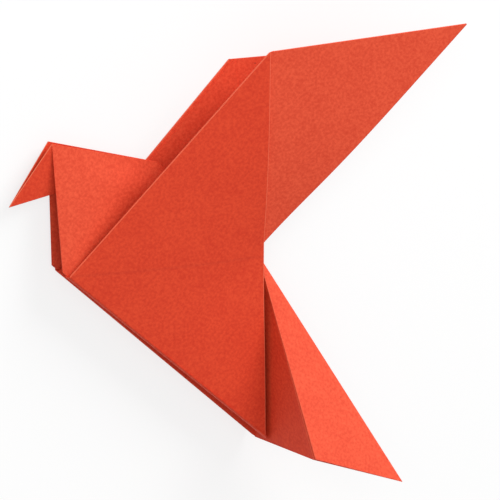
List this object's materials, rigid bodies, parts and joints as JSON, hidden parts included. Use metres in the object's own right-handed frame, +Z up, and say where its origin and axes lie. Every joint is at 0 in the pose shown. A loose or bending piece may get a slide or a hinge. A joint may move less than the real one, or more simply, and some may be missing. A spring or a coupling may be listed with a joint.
{
  "type": "origami dove",
  "caption": "Dove folded from one square of orange-red paper, with raised open wings, a turned-down head and a pleated tail, lying on one wing.",
  "frame": {"origin": "under the middle of the bounding box, on the surface that the dove lies on", "axes": "+X along the spine from the head to the tail, +Y from the wing folds towards the wing tips, +Z up from the wing that it lies on to the free wing"},
  "size_m": [0.0908, 0.0792, 0.0223],
  "materials": {
    "paper": "matte"
  },
  "bodies": {
    "root": {"folded_sheet": "paper"}
  },
  "joints": []
}
